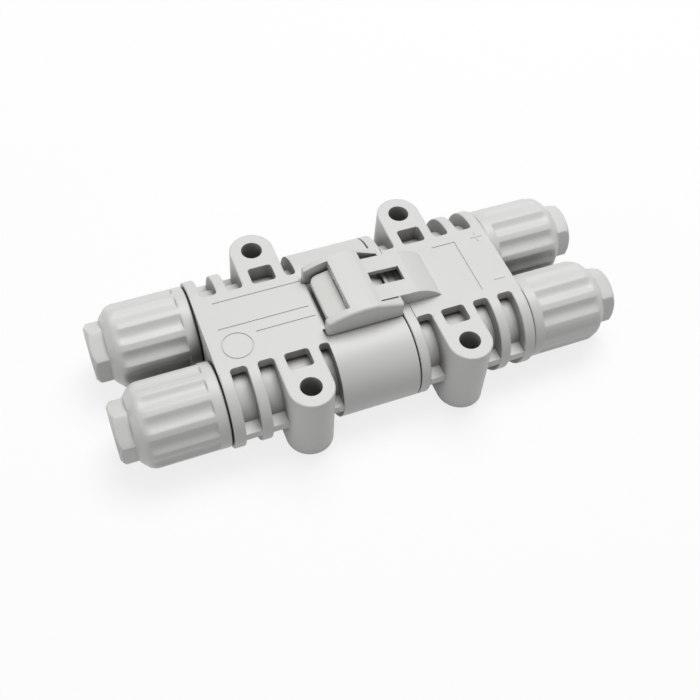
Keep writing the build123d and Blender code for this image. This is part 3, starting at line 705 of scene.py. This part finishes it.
# Seals: black silicone rubber. A bush lies in each gland, a flat ring on each side of the
# joint between the halves, and an O-ring round each plug nose.
seal_black = moulded_plastic(
    "seal_black_rubber",
    light=(0.018, 0.018, 0.019),
    dark=(0.012, 0.012, 0.013),
    edge_highlight=(0.04, 0.04, 0.04),
    deep=(0.008, 0.008, 0.008),
    roughness=0.62,
    edge_radius=0.0001,
)
for gland in glands:
    dress(nodes[f"{gland}_gland_seal"], seal_black)
for row in ("front", "rear"):
    dress(nodes[f"{row}_face_seal"], seal_black)
    dress(nodes[f"{row}_nose_oring"], seal_black)

# Carriers: dark plastic plugs, moulded to fit inside the barrels. Each one holds its contact in
# the middle of its barrel, clear of the wall.
carrier_dark = moulded_plastic(
    "carrier_dark_plastic",
    light=(0.09, 0.09, 0.095),
    dark=(0.07, 0.07, 0.075),
    edge_highlight=(0.14, 0.14, 0.145),
    deep=(0.03, 0.03, 0.03),
    roughness=0.45,
    edge_radius=0.0001,
)
for row in ("front", "rear"):
    dress(nodes[f"{row}_pin_carrier"], carrier_dark)
    dress(nodes[f"{row}_socket_carrier"], carrier_dark)

# Contacts and terminal screws: turned brass pins and sockets, each with a zinc-plated steel
# screw that clamps the wire. The lathe leaves fine rings round them.
LATHE_RINGS = 2500
LATHE_WAVER = 0.6
LATHE_STRENGTH = 0.3
LATHE_DEPTH = 0.00002
STAIN_SIZE = 300.0
STAIN_DULLING = 0.12


def turned_metal(name, colour, stained, roughness):
    """Turned metal: rings from the lathe across the length, and faint stains."""
    material = bpy.data.materials.new(name)
    material.use_nodes = True
    tree = material.node_tree
    finish = tree.nodes["Principled BSDF"]
    finish.inputs["Metallic"].default_value = 1.0
    place = tree.nodes.new("ShaderNodeTexCoord")
    rings = tree.nodes.new("ShaderNodeTexWave")
    rings.bands_direction = "X"
    rings.inputs["Scale"].default_value = LATHE_RINGS
    rings.inputs["Distortion"].default_value = LATHE_WAVER
    grain = placed_group(tree, mould_grain, Cloud_Size=STAIN_SIZE)
    tone = colour_mix(tree, stained, colour)
    gloss = tree.nodes.new("ShaderNodeMapRange")
    gloss.inputs["To Min"].default_value = roughness + STAIN_DULLING
    gloss.inputs["To Max"].default_value = roughness
    bump = tree.nodes.new("ShaderNodeBump")
    bump.inputs["Strength"].default_value = LATHE_STRENGTH
    bump.inputs["Distance"].default_value = LATHE_DEPTH
    link = tree.links.new
    link(place.outputs["Object"], rings.inputs["Vector"])
    link(rings.outputs["Fac"], bump.inputs["Height"])
    link(grain.outputs["Cloud"], tone.inputs["Factor"])
    link(tone.outputs["Result"], finish.inputs["Base Color"])
    link(grain.outputs["Cloud"], gloss.inputs["Value"])
    link(gloss.outputs["Result"], finish.inputs["Roughness"])
    link(bump.outputs["Normal"], finish.inputs["Normal"])
    return material


brass = turned_metal(
    "contact_brass",
    colour=(0.80, 0.60, 0.28),
    stained=(0.62, 0.43, 0.18),
    roughness=0.22,
)
zinc = turned_metal(
    "screw_zinc_steel",
    colour=(0.62, 0.62, 0.61),
    stained=(0.50, 0.50, 0.50),
    roughness=0.3,
)
for row in ("front", "rear"):
    dress(nodes[f"{row}_contact_pin"], brass)
    dress(nodes[f"{row}_contact_socket"], brass)
    for end in ("left", "right"):
        dress(nodes[f"{row}_{end}_terminal_screw"], zinc)
